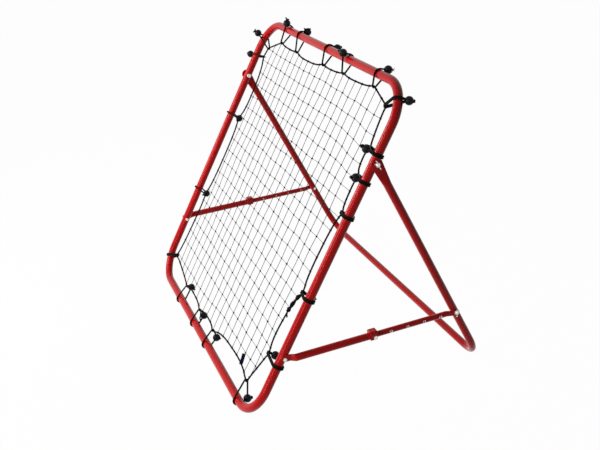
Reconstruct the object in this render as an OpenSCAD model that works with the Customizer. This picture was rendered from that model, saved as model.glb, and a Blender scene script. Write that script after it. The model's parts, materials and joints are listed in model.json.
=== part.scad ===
// Pitch back rebounder: a leaning frame of bent tube that holds a sprung net,
// with a folding rear leg and two telescoping braces. Sizes are in millimetres.
// +X runs across the frame, +Y from its front to its rear, and +Z up.

/* [Frame] */
// Outer width of the frame
frame_w = 1030; // [900:10:1200]
// Outer length of the frame along its slope
frame_l = 1000; // [900:10:1150]
// Lean of the frame from upright, in degrees
lean = 30.8; // [26:0.2:36]
// Diameter of the frame's tube
frame_d = 25; // [22:0.5:30]
// Wall of the frame's tube
frame_wall = 1.5; // [1:0.1:2.5]
// Radius of the frame's corner bends, on the tube's axis
frame_bend = 100; // [80:5:140]
// Length of the swaged ends that plug the upper frame into the lower one
plug_len = 60; // [45:5:90]
// Distance from the pivot up to the seam between the two halves
seam_up = 24; // [18:1:40]

/* [Rear leg] */
// Diameter of the leg's tube
leg_d = 22; // [19:0.5:24]
// Wall of the leg's tube
leg_wall = 1.5; // [1:0.1:2.2]
// Radius of the leg's bends, on the tube's axis
leg_bend = 85; // [60:5:110]
// Distance on the ground from the frame's foot to the leg's foot
foot_gap = 700; // [620:10:780]
// Distance of the pivot up the frame from the frame's middle
pivot_rise = 286.5; // [260:0.5:310]
// Length of the leg's crushed ends, from the bolt to where they start to open out
leg_crush = 30; // [24:1:40]
// Length over which the leg's crushed ends open out to the round tube
leg_flare = 35; // [25:1:50]

/* [Braces] */
// Diameter of the front half's tube
brace_d = 20; // [19:0.5:22]
// Diameter of the rear half's tube, which slides in the front half
slider_d = 16; // [14:0.5:17]
// Wall of the rear half's tube
slider_wall = 1.2; // [1:0.1:1.6]
// Distance of the brace's front bolt down the frame from the frame's middle
brace_drop = 279.5; // [250:0.5:295]
// Distance of the brace's rear bolt down the leg from the pivot
brace_down = 532; // [500:2:560]
// Length of the braces' crushed ends, from the bolt to where they start to open out
brace_crush = 13; // [12:1:16]
// Length over which the braces' crushed ends open out to the round tube
brace_flare = 18; // [16:1:24]
// Distance between two holes of the rear half
hole_pitch = 51; // [46:1:53]
// Number of holes between the rear bolt and the lock screw's hole
free_holes = 4; // [2:1:4]
// Diameter of those holes
hole_d = 6.4; // [5:0.1:8]
// Length of the rear half in front of the lock screw
slider_tail = 12; // [8:1:20]
// Length of the saddle at the front half's mouth
saddle_len = 20; // [16:1:30]
// Wall of the saddle beside the tube
saddle_wall = 2.5; // [1.5:0.1:4]
// Height of the saddle's crown above the tube
saddle_crown = 7; // [4:0.5:10]

/* [Bolts] */
// Diameter of the pivot bolts
pivot_bolt_d = 8; // [6:1:8]
// Diameter of the brace bolts
brace_bolt_d = 6; // [5:0.5:7]
// Diameter of the lock screws
lock_screw_d = 6; // [5:0.5:6]
// Thickness of the pivot washers
washer_t = 1.5; // [1:0.1:2.5]
// Radial clearance of a bolt in its hole
bolt_fit = 0.1; // [0.05:0.05:0.2]
// Radial play of the rear brace bolt in the brace's eye
eye_play = 2; // [1.8:0.1:2.4]
// Clearance between faces that move on each other
clear = 0.3; // [0.2:0.05:0.5]

/* [Net] */
// Diameter of the rope round the net
rope_d = 4; // [3:0.25:5]
// Thickness of the net
net_t = 1.6; // [1:0.2:2.4]
// Width of the net's strings
string_w = 2; // [1.6:0.2:3]
// Meshes across the net, and down it
meshes = 17; // [10:1:17]
// Diameter of the elastic loops' cord
cord_d = 4.6; // [4:0.2:5]
// Diameter of the balls on the elastic loops
ball_d = 25; // [22:0.5:26]

/* [Hidden] */
$fn = 48;
SIDES = ["right", "left"];
TIES = [
    ["left_5", 3, 448, 71, 0, [-18, 22, -26]],
    ["top_1", 0, -338, 46, 6, [-17.5, 19, 17]],
    ["top_2", 0, -200, 49, 12, [-20, -17, -22]],
    ["top_3", 0, 12, 45, 6, [-14, -24, -8]],
    ["top_4", 0, 151, 40, 8, [-10, 25, -4]],
    ["top_5", 0, 341, 33, 0, [-20, -18, 0]],
    ["right_1", 1, 466, 48, 4, [-19, -19, -15]],
    ["right_2", 1, 312, 47, 14, [37, 15, -5]],
    ["right_3", 1, 236, 41, 8, [23.5, 15.5, -6]],
    ["right_4", 1, 131, 36, 15, [22, -18, 0]],
    ["right_5", 1, -110, 44, 20, [22, -18, 0]],
    ["right_6", 1, -310, 70, 0, [64, -18, 0]],
    ["bottom_1", 2, 386, 58, 25, [11, -24, 5]],
    ["bottom_2", 2, 68, 46, 13, [28, -22, 0]],
    ["bottom_3", 2, -80, 42, 13, [31, -20, 5]],
    ["bottom_4", 2, -248, 48, 4, [49, -18, -5]],
    ["left_1", 3, -430, 57, 10, [-25, -13, 0]],
    ["left_2", 3, -150, 79, 16, [45.5, -16, -6]],
    ["left_3", 3, 143, 82, 27, [46.5, -16, -4]],
    ["left_4", 3, 370, 66, 0, [-25, 12, -14]]
];

// Colours
PAINT = "firebrick";
ZINC = "silver";
BLACK = [0.08, 0.08, 0.08];
NET_GREY = [0.25, 0.25, 0.25];

// Cord and its wraps
seat = 0.05;
cord_gap = 0.3;
cord_press = cord_d / 10;
cord_sides = 8;
knot_tail = 22;
wrap_step = 24;
tube_wrap = frame_d / 2 + cord_gap + cord_d / 2;
rope_wrap = rope_d / 2 + cord_gap + cord_d / 2;
spot_r = cord_d / 2 + 0.6;
spot_depth = sqrt(pow(ball_d / 2, 2) - pow(spot_r, 2));

// Frame, measured on the tubes' axes
half_w = (frame_w - frame_d) / 2;
slope_l = frame_l - frame_d;
pivot_up = slope_l / 2 + pivot_rise;
brace_up = slope_l / 2 - brace_drop;
frame_bore = frame_d - 2 * frame_wall;
plug_gap = 0.15;
plug_d = frame_bore - 2 * plug_gap;
plug_wall = frame_wall;
seam_at = pivot_up + seam_up;
base_z = frame_d / 2 + cord_gap + cord_d - cord_press;
front_reach = tube_wrap / cos(wrap_step / 2) + cord_d / 2;
base_y = -(foot_gap + leg_d / 2 - front_reach) / 2;

// Joint places in the YZ plane
function up_frame(v) = [base_y + v * sin(lean), base_z + v * cos(lean)];
pivot = up_frame(pivot_up);
foot = [base_y + foot_gap, leg_d / 2];
leg_len = norm(pivot - foot);
leg_turn = atan2(pivot[1] - foot[1], pivot[0] - foot[0]);
brace_a = up_frame(brace_up);
brace_b = pivot + (foot - pivot) * brace_down / leg_len;
brace_len = norm(brace_b - brace_a);
brace_turn = atan2(brace_b[1] - brace_a[1], brace_b[0] - brace_a[0]);

// Stack of parts outside the frame, along X
brace_wall = (brace_d - slider_d) / 2 - clear;
frame_face = half_w + frame_d / 2;
leg_x = frame_face + washer_t + clear + leg_wall;
brace_x = frame_face + brace_d / 2;
brace_flat_x = frame_face + clear + brace_wall;
slider_flat_x = leg_x + leg_d / 2 + clear + slider_wall;
lock_at = brace_len - (free_holes + 1) * hole_pitch;
mouth_at = lock_at + saddle_len * 0.4;
eye_d = brace_bolt_d + 2 * eye_play;

// Bolt heads and nuts
head_d = 1.8;
head_h = 0.55;
nut_h = 0.8;
nut_d = 1.9;
tip_out = 2.5;
wing_t = 2.2;
knob_d = 12;
knob_h = 5;

// ---------- helpers ----------

function unit(v) = v / norm(v);

module on_frame_plane() {
    translate([0, base_y, base_z])
        rotate([90 - lean, 0, 0])
            children();
}

module on_leg_plane() {
    translate([0, foot[0], foot[1]])
        rotate([leg_turn, 0, 0])
            children();
}

module on_brace(side) {
    mirror([side == "left" ? 1 : 0, 0, 0])
        translate([brace_x, brace_a[0], brace_a[1]])
            rotate([brace_turn, 0, 0])
                children();
}

module both_sides() {
    children();
    mirror([1, 0, 0])
        children();
}

// Rod along X from x0 to x1 at a place in the YZ plane
module x_rod(d, x0, x1, at) {
    translate([x0, at[0], at[1]])
        rotate([0, 90, 0])
            cylinder(d = d, h = x1 - x0);
}

// U of round bar: its cross bar on the X axis, its arms along +Y
module u_bar(half, arm, bend, d) {
    translate([-(half - bend), 0, 0])
        rotate([0, 90, 0])
            cylinder(d = d, h = 2 * (half - bend));
    both_sides() {
        translate([half - bend, bend, 0])
            rotate([0, 0, -90])
                rotate_extrude(angle = 90)
                    translate([bend, 0])
                        circle(d = d);
        translate([half, bend, 0])
            rotate([-90, 0, 0])
                cylinder(d = d, h = arm - bend);
    }
}

// Width of a tube that is crushed flat
function crushed_w(d, wall) = PI * (d - 2 * wall) / 2 + 2 * wall;

// Crushed end of a tube along +Y: opens out from the round tube at y = 0 and
// ends in a flat of width w with a hole at y = flare_len + crush_len
module crushed_end(d, wall, w, flare_len, crush_len, shift, hole) {
    t = 2 * wall;
    bolt_y = flare_len + crush_len;
    slice = 0.2;
    hull() {
        rotate([-90, 0, 0])
            cylinder(d = d, h = slice, $fn = 32);
        translate([shift, flare_len - slice / 2, 0])
            cube([t, slice, w], center = true);
    }
    difference() {
        union() {
            translate([shift - t / 2, flare_len, -w / 2 + wall])
                cube([t, crush_len, w - t]);
            for (edge = [-1, 1])
                translate([shift, flare_len, edge * (w / 2 - wall)])
                    rotate([-90, 0, 0])
                        cylinder(d = t, h = crush_len);
            x_rod(w, shift - t / 2, shift + t / 2, [bolt_y, 0]);
        }
        x_rod(hole, shift - t, shift + t, [bolt_y, 0]);
    }
}

// Bolt along +X: head behind x0, tip at x1
module bolt(d, x0, x1, at) {
    x_rod(d, x0 - seat, x1, at);
    translate([x0 - seat, at[0], at[1]])
        rotate([0, -90, 0])
            cylinder(d1 = d * head_d, d2 = d * head_d * 0.8, h = d * head_h);
}

// Wing nut along +X from x0, its wings turned from +Y by turn degrees
module wing_nut(d, x0, at, turn) {
    hub = d * 0.9;
    difference() {
        translate([x0, at[0], at[1]])
            rotate([turn, 0, 0]) {
                rotate([0, 90, 0])
                    cylinder(d1 = d * 1.75, d2 = d * 1.4, h = hub);
                for (s = [-1, 1]) {
                    translate([hub, s * d * 1.25, -wing_t / 2])
                        cylinder(d = d * 1.2, h = wing_t);
                    translate([hub * 0.35, s * d * 0.9, -wing_t / 2])
                        rotate([0, 0, s * -20])
                            translate([0, -d * 0.4, 0])
                                cube([hub * 0.7, d * 0.8, wing_t]);
                }
            }
        x_rod(d + 2 * seat, x0 - 1, x0 + 3 * hub, at);
    }
}

module hex_nut(d, x0, at) {
    difference() {
        translate([x0, at[0], at[1]])
            rotate([0, 90, 0])
                cylinder(d = d * nut_d, h = d * nut_h, $fn = 6);
        x_rod(d + 2 * seat, x0 - 1, x0 + d * nut_h + 1, at);
    }
}

// ---------- cord geometry ----------

// Tube swept along a path; across is square to the path everywhere
module cord(path, across, d, sides, closed = false) {
    n = len(path);
    rings = [for (i = [0:n - 1])
        let (
            before = path[closed ? (i + n - 1) % n : max(i - 1, 0)],
            after = path[closed ? (i + 1) % n : min(i + 1, n - 1)],
            along = unit(after - before),
            e1 = unit(cross(across, along)),
            e2 = cross(along, e1)
        )
        for (k = [0:sides - 1])
            path[i] + d / 2 * (cos(360 * k / sides) * e1 + sin(360 * k / sides) * e2)];
    last = closed ? n - 1 : n - 2;
    walls = [for (i = [0:last], k = [0:sides - 1], half = [0, 1])
        let (
            i2 = (i + 1) % n,
            k2 = (k + 1) % sides,
            a = i * sides + k,
            b = i * sides + k2,
            c = i2 * sides + k2,
            e = i2 * sides + k
        )
        half == 0 ? [a, c, b] : [a, e, c]];
    caps = closed ? [] : [
        [for (k = [0:sides - 1]) k],
        [for (k = [sides - 1:-1:0]) (n - 1) * sides + k]];
    polyhedron(points = rings, faces = concat(walls, caps), convexity = 6);
}

// Place on the frame's axis: [point, inward direction, direction along the tube].
// side is 0 top, 1 right, 2 bottom, 3 left; along runs from the side's middle.
OUT = [[0, 1, 0], [1, 0, 0], [0, -1, 0], [-1, 0, 0]];
ALONG = [[1, 0, 0], [0, 1, 0], [1, 0, 0], [0, 1, 0]];
function station(side, along) =
    let (
        far = side % 2 == 0 ? slope_l / 2 : half_w,
        straight = (side % 2 == 0 ? half_w : slope_l / 2) - frame_bend,
        run = sign(along) * min(abs(along), straight),
        turn = (along - run) / frame_bend * 180 / PI,
        o = OUT[side],
        a = ALONG[side]
    )
    [[0, slope_l / 2, 0] + o * (far - frame_bend * (1 - cos(turn))) + a * (run + frame_bend * sin(turn)),
     -o * cos(turn) - a * sin(turn),
     a * cos(turn) - o * sin(turn)];

function tie_place(tie) = station(tie[1], tie[2]);
function net_point(tie) = let (s = tie_place(tie)) s[0] + s[1] * tie[3];

// The edge rope: one scallop between each tie and the next
SPAN_STEPS = [0, 0.12, 0.5, 0.88];
tie_count = len(TIES);
function rope_at(i, f) =
    let (
        a = net_point(TIES[i % tie_count]),
        b = net_point(TIES[(i + 1) % tie_count]),
        inward = unit([b[1] - a[1], a[0] - b[0], 0])
    )
    a + (b - a) * f + inward * TIES[i % tie_count][4] * (1 - pow(abs(2 * f - 1), 3));
rope_path = [for (i = [0:tie_count - 1], f = SPAN_STEPS) rope_at(i, f)];

// From a tie's place on the rope to its loop's bight, clear of both sides of the rope's corner
function bight(i) =
    let (
        p = rope_at(i, 0),
        back = unit(rope_at(i + tie_count - 1, SPAN_STEPS[3]) - p),
        on = unit(rope_at(i, SPAN_STEPS[1]) - p),
        t = unit(on - back)
    )
    [t[1], -t[0], 0] * rope_wrap / (on * t);

// A belt round the tube, the rope and the ball, in the plane square to the tube.
// Each wheel is [inward, forward, radius].
function belt_normal(a, b) =
    atan2(b[1] - a[1], b[0] - a[0]) - acos((a[2] - b[2]) / norm([b[0] - a[0], b[1] - a[1]]));
function reach_along(w, angle) = w[0] * cos(angle) + w[1] * sin(angle) + w[2];
function sticks_out(w, a, b) =
    let (n = belt_normal(a, b)) reach_along(w, n) > reach_along(a, n);

function wheels(i) =
    let (
        tie = TIES[i],
        tube = [0, 0, tube_wrap],
        rope = [tie[3] + bight(i) * tie_place(tie)[1] - rope_wrap, 0, rope_wrap],
        ball = [tie[5][0], tie[5][1], 0]
    )
    tie[5][1] < 0
        ? concat([ball], sticks_out(tube, ball, rope) ? [tube] : [], [rope, tube, ball])
        : concat([ball, tube, rope], sticks_out(tube, rope, ball) ? [tube] : [], [ball]);

// Points round one wheel, on a polygon that stays outside the wheel
function wrap(w, from, to) =
    let (
        sweep = (to - from) % 360,
        angle = sweep < 0 ? sweep + 360 : sweep,
        count = max(1, ceil(angle / (w[2] < tube_wrap ? 2 * wrap_step : wrap_step))),
        r = w[2] / cos(angle / count / 2)
    )
    [for (i = [0:count]) let (a = from + angle * i / count) [w[0] + r * cos(a), w[1] + r * sin(a)]];

function belt(i) =
    let (
        w = wheels(i),
        n = len(w),
        normals = [for (k = [0:n - 2]) belt_normal(w[k], w[k + 1])]
    )
    [for (k = [1:n - 2], p = wrap(w[k], normals[k - 1], normals[k])) p];

// The whole loop in the frame's plane; along the tube it drifts from the bight to the ball,
// and its ends meet the ball's flats
function loop_path(i) =
    let (
        tie = TIES[i],
        s = tie_place(tie),
        far = [tie[3], 0],
        bight_t = bight(i) * s[2],
        ball = ball_centre(tie),
        ball_gap = norm([tie[5][0], tie[5][1]] - far),
        round = [for (p = belt(i))
            let (share = min(1, max(0, norm(p - far) - rope_wrap) / ball_gap))
            s[0] + s[1] * p[0] + [0, 0, 1] * p[1]
                + s[2] * (tie[5][2] * share + bight_t * (1 - share))]
    )
    concat([ball + spot_depth * unit(round[0] - ball)],
           round,
           [ball + spot_depth * unit(round[len(round) - 1] - ball)]);

function ball_centre(tie) =
    let (s = tie_place(tie)) s[0] + s[1] * tie[5][0] + [0, 0, 1] * tie[5][1] + s[2] * tie[5][2];

// The rope's path moved towards the net's middle
function inside_rope(gap) =
    let (n = len(rope_path))
    [for (i = [0:n - 1])
        let (
            p = rope_path[i],
            d1 = unit(p - rope_path[(i + n - 1) % n]),
            d2 = unit(rope_path[(i + 1) % n] - p),
            way = unit(d1 + d2)
        )
        p + [way[1], -way[0], 0] * gap / max(0.6, d1 * way)];

// The rope is open at its knot, and both its ends meet the knot's flats
knot_tie = search(["right_5"], TIES)[0];
knot_r = rope_d * 1.2;
knot_depth = sqrt(pow(knot_r, 2) - pow(rope_d / 2 + 0.3, 2));
knot_at = (rope_at(knot_tie, SPAN_STEPS[1]) + rope_at(knot_tie, SPAN_STEPS[2])) / 2;
knot_first = knot_tie * len(SPAN_STEPS) + 2;
knotted_path = let (
        n = len(rope_path),
        run = [for (i = [0:n - 1]) rope_path[(knot_first + i) % n]]
    )
    concat([knot_at + knot_depth * unit(run[0] - knot_at)],
           run,
           [knot_at + knot_depth * unit(run[n - 1] - knot_at)]);

// ---------- net ----------

net_gap = rope_d / 2 + cord_gap;
net_inset = net_gap + 7;
notch_r = cord_d / 2 + cord_gap + 0.25;
grid_edge = inside_rope(net_inset);
corners = [for (name = ["left_1", "bottom_1", "right_1", "left_5"])
    grid_edge[search([name], TIES)[0] * len(SPAN_STEPS)]];
function between(list, first, last) =
    [for (i = [first:last]) list[(i + len(list)) % len(list)]];
function tie_index(name) = search([name], TIES)[0] * len(SPAN_STEPS);
top_edge = [for (p = between(grid_edge, tie_index("left_5"), tie_index("right_1"))) [p[0], p[1]]];
right_edge = [for (p = between(grid_edge, tie_index("right_1"), tie_index("bottom_1"))) [p[1], p[0]]];
bottom_edge = [for (p = between(grid_edge, tie_index("bottom_1"), tie_index("left_1"))) [p[0], p[1]]];
left_edge = [for (p = between(grid_edge, tie_index("left_1") - len(grid_edge), tie_index("left_5")))
    [p[1], p[0]]];

// A place in the net: u runs from left to right, s from the bottom to the top
function net_at(u, s) =
    let (
        low_x = corners[0][0] + (corners[1][0] - corners[0][0]) * u,
        top_x = corners[3][0] + (corners[2][0] - corners[3][0]) * u,
        left_y = corners[0][1] + (corners[3][1] - corners[0][1]) * s,
        right_y = corners[1][1] + (corners[2][1] - corners[1][1]) * s,
        low = [low_x, lookup(low_x, bottom_edge)],
        top = [top_x, lookup(top_x, top_edge)],
        left = [lookup(left_y, left_edge), left_y],
        right = [lookup(right_y, right_edge), right_y]
    )
    low * (1 - s) + top * s + left * (1 - u) + right * u
        - [for (k = [0, 1])
            corners[0][k] * (1 - u) * (1 - s) + corners[1][k] * u * (1 - s)
                + corners[2][k] * u * s + corners[3][k] * (1 - u) * s];

function mesh_gap(i, j) =
    let (
        quad = [for (c = [[0, 0], [1, 0], [1, 1], [0, 1]]) net_at((i + c[0]) / meshes, (j + c[1]) / meshes)],
        middle = (quad[0] + quad[1] + quad[2] + quad[3]) / 4,
        shrink = string_w / norm(quad[1] - quad[0])
    )
    [for (p = quad) p + (middle - p) * shrink];

// ---------- sub-parts ----------

module upper_frame() {
    arm = slope_l - seam_at;
    color(PAINT)
        on_frame_plane()
            difference() {
                union() {
                    translate([0, slope_l, 0])
                        mirror([0, 1, 0])
                            u_bar(half_w, arm, frame_bend, frame_d);
                    both_sides()
                        translate([half_w, seam_at - plug_len, 0])
                            rotate([-90, 0, 0])
                                cylinder(d = plug_d, h = plug_len);
                }
                translate([0, slope_l, 0])
                    mirror([0, 1, 0])
                        u_bar(half_w, arm - plug_wall, frame_bend, frame_bore);
                both_sides()
                    translate([half_w, seam_at - plug_len - 1, 0])
                        rotate([-90, 0, 0])
                            cylinder(d = plug_d - 2 * plug_wall, h = plug_len + plug_wall + 2);
                both_sides()
                    x_rod(pivot_bolt_d + 2 * bolt_fit, half_w - frame_d, half_w + frame_d, [pivot_up, 0]);
            }
}

module lower_frame() {
    color(PAINT)
        on_frame_plane()
            difference() {
                u_bar(half_w, seam_at, frame_bend, frame_d);
                u_bar(half_w, seam_at + 1, frame_bend, frame_bore);
                both_sides() {
                    x_rod(pivot_bolt_d + 2 * bolt_fit, half_w - frame_d, half_w + frame_d, [pivot_up, 0]);
                    x_rod(brace_bolt_d + 2 * bolt_fit, half_w - frame_d, half_w + frame_d, [brace_up, 0]);
                }
            }
}

module rear_leg() {
    round_len = leg_len - leg_crush - leg_flare;
    color(PAINT)
        on_leg_plane()
            difference() {
                union() {
                    difference() {
                        u_bar(leg_x, round_len, leg_bend, leg_d);
                        u_bar(leg_x, round_len + 1, leg_bend, leg_d - 2 * leg_wall);
                    }
                    both_sides()
                        translate([leg_x, round_len, 0])
                            crushed_end(leg_d, leg_wall, crushed_w(leg_d, leg_wall), leg_flare,
                                        leg_crush, 0, pivot_bolt_d + 2 * bolt_fit);
                }
                both_sides()
                    x_rod(brace_bolt_d + 2 * bolt_fit, leg_x - leg_d, leg_x + leg_d,
                          [leg_len - brace_down, 0]);
            }
}

// The braces' crushed ends are trimmed to the width of their tubes
module brace_front(side) {
    round_at = brace_crush + brace_flare;
    color(PAINT)
        on_brace(side) {
            difference() {
                translate([0, round_at, 0])
                    rotate([-90, 0, 0])
                        cylinder(d = brace_d, h = mouth_at - round_at);
                translate([0, round_at, 0])
                    rotate([-90, 0, 0])
                        cylinder(d = brace_d - 2 * brace_wall, h = mouth_at);
                x_rod(lock_screw_d + 2 * bolt_fit, 0, brace_d, [lock_at, 0]);
            }
            translate([0, round_at, 0])
                mirror([0, 1, 0])
                    crushed_end(brace_d, brace_wall, brace_d, brace_flare, brace_crush,
                                brace_flat_x - brace_x, brace_bolt_d + 2 * bolt_fit);
        }
}

module brace_saddle(side) {
    half = brace_d / 2 + saddle_wall;
    crown = brace_d / 2 + saddle_crown;
    round_r = half / 2;
    color(PAINT)
        on_brace(side)
            difference() {
                translate([0, mouth_at, 0])
                    rotate([90, 0, 0])
                        linear_extrude(saddle_len)
                            union() {
                                translate([-half, -brace_d * 0.4])
                                    square([2 * half, crown - round_r + brace_d * 0.4]);
                                translate([-half + round_r, -brace_d * 0.4])
                                    square([2 * (half - round_r), crown + brace_d * 0.4]);
                                for (s = [-1, 1])
                                    translate([s * (half - round_r), crown - round_r])
                                        circle(r = round_r);
                            }
                translate([0, mouth_at - saddle_len - 1, 0])
                    rotate([-90, 0, 0])
                        cylinder(d = brace_d + 2 * seat, h = saddle_len + 2);
                x_rod(lock_screw_d + 2 * bolt_fit, 0, brace_d, [lock_at, 0]);
            }
}

module brace_rear(side) {
    tail = lock_at - slider_tail;
    round_len = brace_len - brace_crush - brace_flare - tail;
    color(PAINT)
        on_brace(side) {
            difference() {
                translate([0, tail, 0])
                    rotate([-90, 0, 0])
                        cylinder(d = slider_d, h = round_len);
                translate([0, tail - 1, 0])
                    rotate([-90, 0, 0])
                        cylinder(d = slider_d - 2 * slider_wall, h = round_len + 1);
                for (i = [1:free_holes + 1])
                    x_rod(hole_d, -slider_d, slider_d, [brace_len - i * hole_pitch, 0]);
            }
            translate([0, tail + round_len, 0])
                crushed_end(slider_d, slider_wall, slider_d, brace_flare, brace_crush,
                            slider_flat_x - brace_x, eye_d);
        }
}

module lock_screw(side) {
    tip = slider_d / 2 + clear;
    head_x = brace_d / 2 + saddle_wall + clear;
    color(ZINC)
        on_brace(side)
            difference() {
                union() {
                    x_rod(lock_screw_d, tip, head_x + knob_h, [lock_at, 0]);
                    x_rod(knob_d, head_x, head_x + knob_h, [lock_at, 0]);
                }
                for (a = [0:45:315])
                    translate([head_x - 1, lock_at, 0])
                        rotate([a, 0, 0])
                            translate([0, knob_d / 2 + 0.4, 0])
                                rotate([0, 90, 0])
                                    cylinder(d = 2.4, h = knob_h + 2);
            }
}

module pivot_bolts() {
    color(ZINC)
        both_sides()
            bolt(pivot_bolt_d, half_w - frame_d / 2, pivot_nut_x + pivot_bolt_d * 0.9 + tip_out, pivot);
}
pivot_nut_x = leg_x + leg_wall + clear;

module pivot_washers() {
    color(ZINC)
        both_sides()
            difference() {
                x_rod(pivot_bolt_d * 2, frame_face + seat, frame_face + washer_t, pivot);
                x_rod(pivot_bolt_d + 2 * seat, frame_face - 1, frame_face + washer_t + 1, pivot);
            }
}

module pivot_wing_nuts() {
    color(ZINC)
        both_sides()
            wing_nut(pivot_bolt_d, pivot_nut_x, pivot, 115);
}

brace_nut_x = brace_flat_x + brace_wall + clear;
module brace_bolts_front() {
    color(ZINC)
        both_sides()
            bolt(brace_bolt_d, half_w - frame_d / 2, brace_nut_x + brace_bolt_d * nut_h + tip_out, brace_a);
}

module brace_nuts_front() {
    color(ZINC)
        both_sides()
            hex_nut(brace_bolt_d, brace_nut_x, brace_a);
}

slider_nut_x = slider_flat_x + slider_wall + clear;
module brace_bolts_rear() {
    color(ZINC)
        both_sides()
            bolt(brace_bolt_d, leg_x - leg_d / 2, slider_nut_x + brace_bolt_d * 0.9 + tip_out, brace_b);
}

module brace_washers_rear() {
    color(ZINC)
        both_sides()
            difference() {
                x_rod(eye_d + 4, slider_nut_x, slider_nut_x + washer_t - seat, brace_b);
                x_rod(brace_bolt_d + 2 * seat, slider_nut_x - 1, slider_nut_x + washer_t + 1, brace_b);
            }
}

module brace_wing_nuts_rear() {
    color(ZINC)
        both_sides()
            wing_nut(brace_bolt_d, slider_nut_x + washer_t, brace_b, 60);
}

module edge_rope() {
    color(BLACK)
        on_frame_plane()
            cord(knotted_path, [0, 0, 1], rope_d, cord_sides);
}

// The knot that joins the rope's two ends, and the short end that stands out of it
module rope_knot() {
    n = len(knotted_path);
    color(BLACK)
        on_frame_plane() {
            spotted_ball(knot_r, knot_at, knotted_path[0], knotted_path[n - 1], [0, 0, 1]);
            translate(knot_at)
                multmatrix(turn_to(unit([0.75, -0.45, 0.5])))
                    cylinder(d1 = rope_d, d2 = rope_d * 0.8, h = knot_tail);
        }
}

module net() {
    outline = [for (p = inside_rope(net_gap)) [p[0], p[1]]];
    gaps = [for (i = [0:meshes - 1], j = [0:meshes - 1]) mesh_gap(i, j)];
    n = len(outline);
    color(NET_GREY)
        on_frame_plane()
            translate([0, 0, -net_t / 2])
                linear_extrude(net_t, convexity = 10)
                    difference() {
                        polygon(
                            points = concat(outline, [for (gap = gaps, p = gap) p]),
                            paths = concat(
                                [[for (i = [0:n - 1]) i]],
                                [for (g = [0:len(gaps) - 1]) [for (k = [0:3]) n + 4 * g + k]]));
                        for (i = [0:tie_count - 1])
                            translate(rope_at(i, 0))
                                rotate(atan2(bight(i)[1], bight(i)[0])) {
                                    translate([norm(bight(i)) * 1.05, 0])
                                        circle(r = notch_r);
                                    translate([0, -notch_r])
                                        square([norm(bight(i)) * 1.05, 2 * notch_r]);
                                }
                        translate(knot_at)
                            circle(r = knot_r + cord_gap);
                    }
}

module bungee(i) {
    s = tie_place(TIES[i]);
    color(BLACK)
        difference() {
            on_frame_plane()
                cord(loop_path(i), s[2], cord_d, cord_sides);
            if (TIES[i][1] == 2)
                translate([-half_w, base_y - 2 * frame_d, -frame_d])
                    cube([2 * half_w, 4 * frame_d, frame_d]);
        }
}

module bungee_balls() {
    color(BLACK)
        on_frame_plane()
            for (i = [0:tie_count - 1]) {
                c = ball_centre(TIES[i]);
                p = loop_path(i);
                a = p[0];
                b = p[len(p) - 1];
                spotted_ball(ball_d / 2, c, a, b, unit(cross(a - c, b - c)));
            }
}

// Ball with a flat at each of two cord ends; its poles, along z, keep clear of both
module spotted_ball(r, centre, a, b, z) {
    x = unit(cross(unit(a - centre) - unit(b - centre), z));
    difference() {
        translate(centre)
            multmatrix(axes_matrix(x, cross(z, x), z))
                sphere(r = r);
        for (end = [a, b])
            translate(end)
                multmatrix(turn_to(unit(end - centre)))
                    cylinder(r = r, h = r);
    }
}

function axes_matrix(x, y, z) =
    [[x[0], y[0], z[0], 0], [x[1], y[1], z[1], 0], [x[2], y[2], z[2], 0], [0, 0, 0, 1]];

// Rotation that takes +Z to a direction
function turn_to(z) =
    let (
        x = unit(cross(abs(z[2]) < 0.9 ? [0, 0, 1] : [1, 0, 0], z))
    )
    axes_matrix(x, cross(z, x), z);

upper_frame();
lower_frame();
rear_leg();
pivot_bolts();
pivot_washers();
pivot_wing_nuts();
brace_bolts_front();
brace_nuts_front();
brace_bolts_rear();
brace_washers_rear();
brace_wing_nuts_rear();
for (side = SIDES) {
    brace_front(side);
    brace_saddle(side);
    brace_rear(side);
    lock_screw(side);
}
edge_rope();
rope_knot();
net();
bungee_balls();
for (i = [0:tie_count - 1])
    bungee(i);
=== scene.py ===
"""Pitch back rebounder: dressed model.

Lengths are in metres. The frame lies in a leaning plane, whose points are written (x, v, w):
x across the frame, v up its slope from the bottom tube's axis, and w out of its front.
"""

import json
import random
from math import acos, atan2, ceil, copysign, cos, degrees, hypot, pi, radians, sin

import bmesh
import bpy
from mathutils import Matrix, Vector, noise

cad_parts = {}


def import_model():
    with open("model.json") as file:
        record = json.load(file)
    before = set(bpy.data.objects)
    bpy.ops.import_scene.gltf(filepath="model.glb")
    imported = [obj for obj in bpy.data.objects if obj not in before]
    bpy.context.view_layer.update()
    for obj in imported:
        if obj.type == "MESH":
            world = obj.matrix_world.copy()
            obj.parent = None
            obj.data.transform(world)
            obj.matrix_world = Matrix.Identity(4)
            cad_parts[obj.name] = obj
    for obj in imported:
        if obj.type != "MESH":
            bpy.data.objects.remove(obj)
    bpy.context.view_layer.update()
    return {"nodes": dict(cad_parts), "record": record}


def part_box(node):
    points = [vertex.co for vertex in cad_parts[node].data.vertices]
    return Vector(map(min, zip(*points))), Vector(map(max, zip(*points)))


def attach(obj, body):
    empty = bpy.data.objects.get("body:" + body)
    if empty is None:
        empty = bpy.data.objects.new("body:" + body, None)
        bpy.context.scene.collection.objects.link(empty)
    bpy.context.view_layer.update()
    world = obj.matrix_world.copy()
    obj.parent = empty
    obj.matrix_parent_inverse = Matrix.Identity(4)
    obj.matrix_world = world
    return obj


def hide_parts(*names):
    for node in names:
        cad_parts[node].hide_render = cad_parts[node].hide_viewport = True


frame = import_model()
NODES = frame["nodes"]
MM = 0.001

# -------- sizes

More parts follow.
